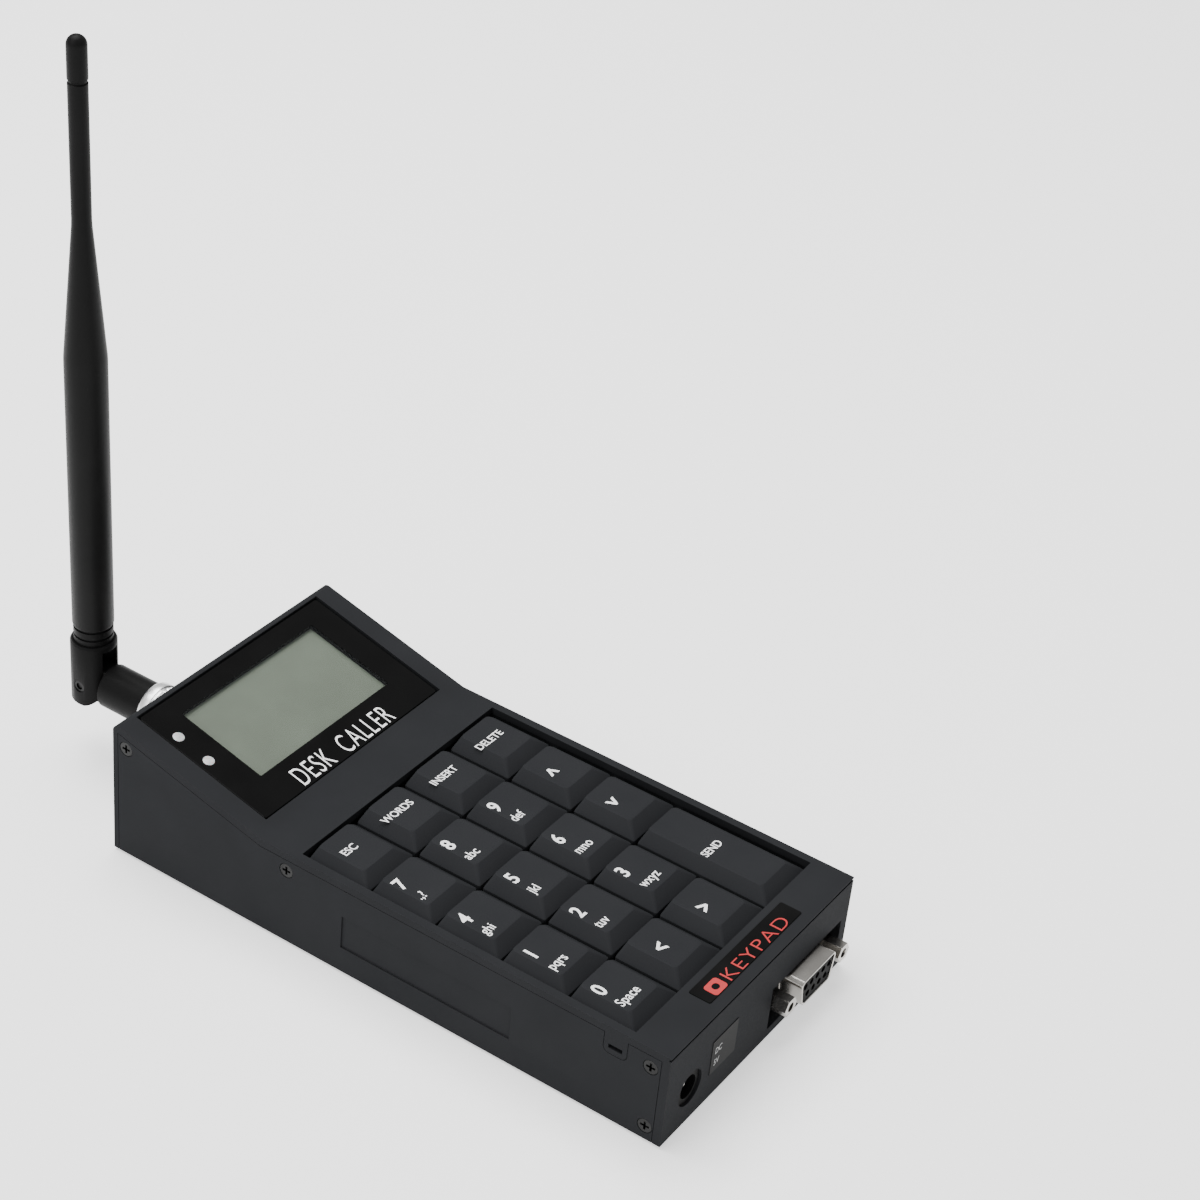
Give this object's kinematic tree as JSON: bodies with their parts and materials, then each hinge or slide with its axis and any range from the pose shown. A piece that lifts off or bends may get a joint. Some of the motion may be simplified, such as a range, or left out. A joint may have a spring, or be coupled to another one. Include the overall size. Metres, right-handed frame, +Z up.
{
  "type": "desktop pager transmitter keypad",
  "caption": "Desk keypad that calls pagers, with a wedge housing, sloped display, press keys, serial and power sockets and a folding, swivelling whip antenna.",
  "frame": {"origin": "on the surface that the feet stand on, under the middle of the overall length and width", "axes": "+X to the user's right, +Y away from the user towards the antenna, +Z up"},
  "size_m": [0.0816, 0.2081, 0.2014],
  "materials": {
    "case_plastic": "fine-textured black moulded plastic",
    "key_plastic": "satin black moulded plastic",
    "black_screws": "black oxide, satin",
    "foot_rubber": "matt rubber",
    "lens_plastic": "polished black acrylic with a clear window",
    "lcd_glass": "grey-green liquid crystal panel",
    "nickel_steel": "nickel plated",
    "led_resin": "milky clear resin",
    "circuit_board": "solder resist",
    "frame_plastic": "grey moulded plastic",
    "silicone": "translucent silicone",
    "chip_plastic": "black epoxy",
    "ribbon": "grey flat cable",
    "label_film": "black adhesive film",
    "socket_plastic": "black moulded plastic",
    "contact_metal": "gold flash",
    "white_insulator": "white PTFE",
    "lead_jacket": "black jacket",
    "nut_chrome": "nickel plated, knurled",
    "antenna_rubber": "satin black rubber"
  },
  "bodies": {
    "housing": {"top_shell": "case_plastic", "base_tray": "case_plastic", "case_screws": "black_screws", "rubber_feet": "foot_rubber", "display_lens": "lens_plastic", "lcd_panel": "lcd_glass", "lcd_frame": "nickel_steel", "radio_module": "nickel_steel", "serial_shell": "nickel_steel", "serial_posts": "nickel_steel", "board_screws": "nickel_steel", "antenna_jack": "nickel_steel", "antenna_jack_nut": "nickel_steel", "dc_jack_pin": "nickel_steel", "indicator_leds": "led_resin", "display_board": "circuit_board", "key_board": "circuit_board", "main_board": "circuit_board", "key_frame": "frame_plastic", "dome_mat": "silicone", "controller_chip": "chip_plastic", "ribbon_cables": "ribbon", "name_plate": "label_film", "power_label": "label_film", "dc_jack": "socket_plastic", "serial_insulator": "socket_plastic", "serial_contacts": "contact_metal", "antenna_jack_insulator": "white_insulator", "antenna_lead": "lead_jacket"},
    "coupling_nut": {"coupling_nut": "nut_chrome"},
    "antenna_swivel": {"antenna_elbow": "antenna_rubber", "antenna_plug_pin": "contact_metal"},
    "antenna_arm": {"antenna_yoke": "antenna_rubber", "fold_pin": "black_screws", "antenna_whip": "antenna_rubber", "whip_tip": "antenna_rubber"},
    "key_0": {"key_0": "key_plastic"},
    "key_left": {"key_left": "key_plastic"},
    "key_right": {"key_right": "key_plastic"},
    "key_send": {"key_send": "key_plastic"},
    "key_1": {"key_1": "key_plastic"},
    "key_2": {"key_2": "key_plastic"},
    "key_3": {"key_3": "key_plastic"},
    "key_4": {"key_4": "key_plastic"},
    "key_5": {"key_5": "key_plastic"},
    "key_6": {"key_6": "key_plastic"},
    "key_down": {"key_down": "key_plastic"},
    "key_7": {"key_7": "key_plastic"},
    "key_8": {"key_8": "key_plastic"},
    "key_9": {"key_9": "key_plastic"},
    "key_up": {"key_up": "key_plastic"},
    "key_esc": {"key_esc": "key_plastic"},
    "key_words": {"key_words": "key_plastic"},
    "key_insert": {"key_insert": "key_plastic"},
    "key_delete": {"key_delete": "key_plastic"}
  },
  "joints": [
    {"name": "key_0_press", "type": "slide", "parent": "housing", "child": "key_0", "axis": [0, 0, -1], "range_m": [0, 0.003], "stiffness_N_per_m": 200, "springref_m": -0.001, "deforming": ["dome_mat"]},
    {"name": "key_left_press", "type": "slide", "parent": "housing", "child": "key_left", "axis": [0, 0, -1], "range_m": [0, 0.003], "stiffness_N_per_m": 200, "springref_m": -0.001, "deforming": ["dome_mat"]},
    {"name": "key_right_press", "type": "slide", "parent": "housing", "child": "key_right", "axis": [0, 0, -1], "range_m": [0, 0.003], "stiffness_N_per_m": 200, "springref_m": -0.001, "deforming": ["dome_mat"]},
    {"name": "key_send_press", "type": "slide", "parent": "housing", "child": "key_send", "axis": [0, 0, -1], "range_m": [0, 0.003], "stiffness_N_per_m": 200, "springref_m": -0.001, "deforming": ["dome_mat"]},
    {"name": "key_1_press", "type": "slide", "parent": "housing", "child": "key_1", "axis": [0, 0, -1], "range_m": [0, 0.003], "stiffness_N_per_m": 200, "springref_m": -0.001, "deforming": ["dome_mat"]},
    {"name": "key_2_press", "type": "slide", "parent": "housing", "child": "key_2", "axis": [0, 0, -1], "range_m": [0, 0.003], "stiffness_N_per_m": 200, "springref_m": -0.001, "deforming": ["dome_mat"]},
    {"name": "key_3_press", "type": "slide", "parent": "housing", "child": "key_3", "axis": [0, 0, -1], "range_m": [0, 0.003], "stiffness_N_per_m": 200, "springref_m": -0.001, "deforming": ["dome_mat"]},
    {"name": "key_4_press", "type": "slide", "parent": "housing", "child": "key_4", "axis": [0, 0, -1], "range_m": [0, 0.003], "stiffness_N_per_m": 200, "springref_m": -0.001, "deforming": ["dome_mat"]},
    {"name": "key_5_press", "type": "slide", "parent": "housing", "child": "key_5", "axis": [0, 0, -1], "range_m": [0, 0.003], "stiffness_N_per_m": 200, "springref_m": -0.001, "deforming": ["dome_mat"]},
    {"name": "key_6_press", "type": "slide", "parent": "housing", "child": "key_6", "axis": [0, 0, -1], "range_m": [0, 0.003], "stiffness_N_per_m": 200, "springref_m": -0.001, "deforming": ["dome_mat"]},
    {"name": "key_down_press", "type": "slide", "parent": "housing", "child": "key_down", "axis": [0, 0, -1], "range_m": [0, 0.003], "stiffness_N_per_m": 200, "springref_m": -0.001, "deforming": ["dome_mat"]},
    {"name": "key_7_press", "type": "slide", "parent": "housing", "child": "key_7", "axis": [0, 0, -1], "range_m": [0, 0.003], "stiffness_N_per_m": 200, "springref_m": -0.001, "deforming": ["dome_mat"]},
    {"name": "key_8_press", "type": "slide", "parent": "housing", "child": "key_8", "axis": [0, 0, -1], "range_m": [0, 0.003], "stiffness_N_per_m": 200, "springref_m": -0.001, "deforming": ["dome_mat"]},
    {"name": "key_9_press", "type": "slide", "parent": "housing", "child": "key_9", "axis": [0, 0, -1], "range_m": [0, 0.003], "stiffness_N_per_m": 200, "springref_m": -0.001, "deforming": ["dome_mat"]},
    {"name": "key_up_press", "type": "slide", "parent": "housing", "child": "key_up", "axis": [0, 0, -1], "range_m": [0, 0.003], "stiffness_N_per_m": 200, "springref_m": -0.001, "deforming": ["dome_mat"]},
    {"name": "key_esc_press", "type": "slide", "parent": "housing", "child": "key_esc", "axis": [0, 0, -1], "range_m": [0, 0.003], "stiffness_N_per_m": 200, "springref_m": -0.001, "deforming": ["dome_mat"]},
    {"name": "key_words_press", "type": "slide", "parent": "housing", "child": "key_words", "axis": [0, 0, -1], "range_m": [0, 0.003], "stiffness_N_per_m": 200, "springref_m": -0.001, "deforming": ["dome_mat"]},
    {"name": "key_insert_press", "type": "slide", "parent": "housing", "child": "key_insert", "axis": [0, 0, -1], "range_m": [0, 0.003], "stiffness_N_per_m": 200, "springref_m": -0.001, "deforming": ["dome_mat"]},
    {"name": "key_delete_press", "type": "slide", "parent": "housing", "child": "key_delete", "axis": [0, 0, -1], "range_m": [0, 0.003], "stiffness_N_per_m": 200, "springref_m": -0.001, "deforming": ["dome_mat"]},
    {"name": "coupling_nut_turn", "type": "hinge", "parent": "housing", "child": "coupling_nut", "pos_m": [-0.0117, 0.07295, 0.022], "axis": [0, 1, 0], "range_deg": [0, 90]},
    {"name": "antenna_swivel", "type": "hinge", "parent": "housing", "child": "antenna_swivel", "pos_m": [-0.0117, 0.08295, 0.022], "axis": [0, 1, 0], "continuous": true},
    {"name": "antenna_fold", "type": "hinge", "parent": "antenna_swivel", "child": "antenna_arm", "pos_m": [-0.0117, 0.09795, 0.022], "axis": [0.9999, 0, 0.0131], "range_deg": [-90, 0]}
  ]
}
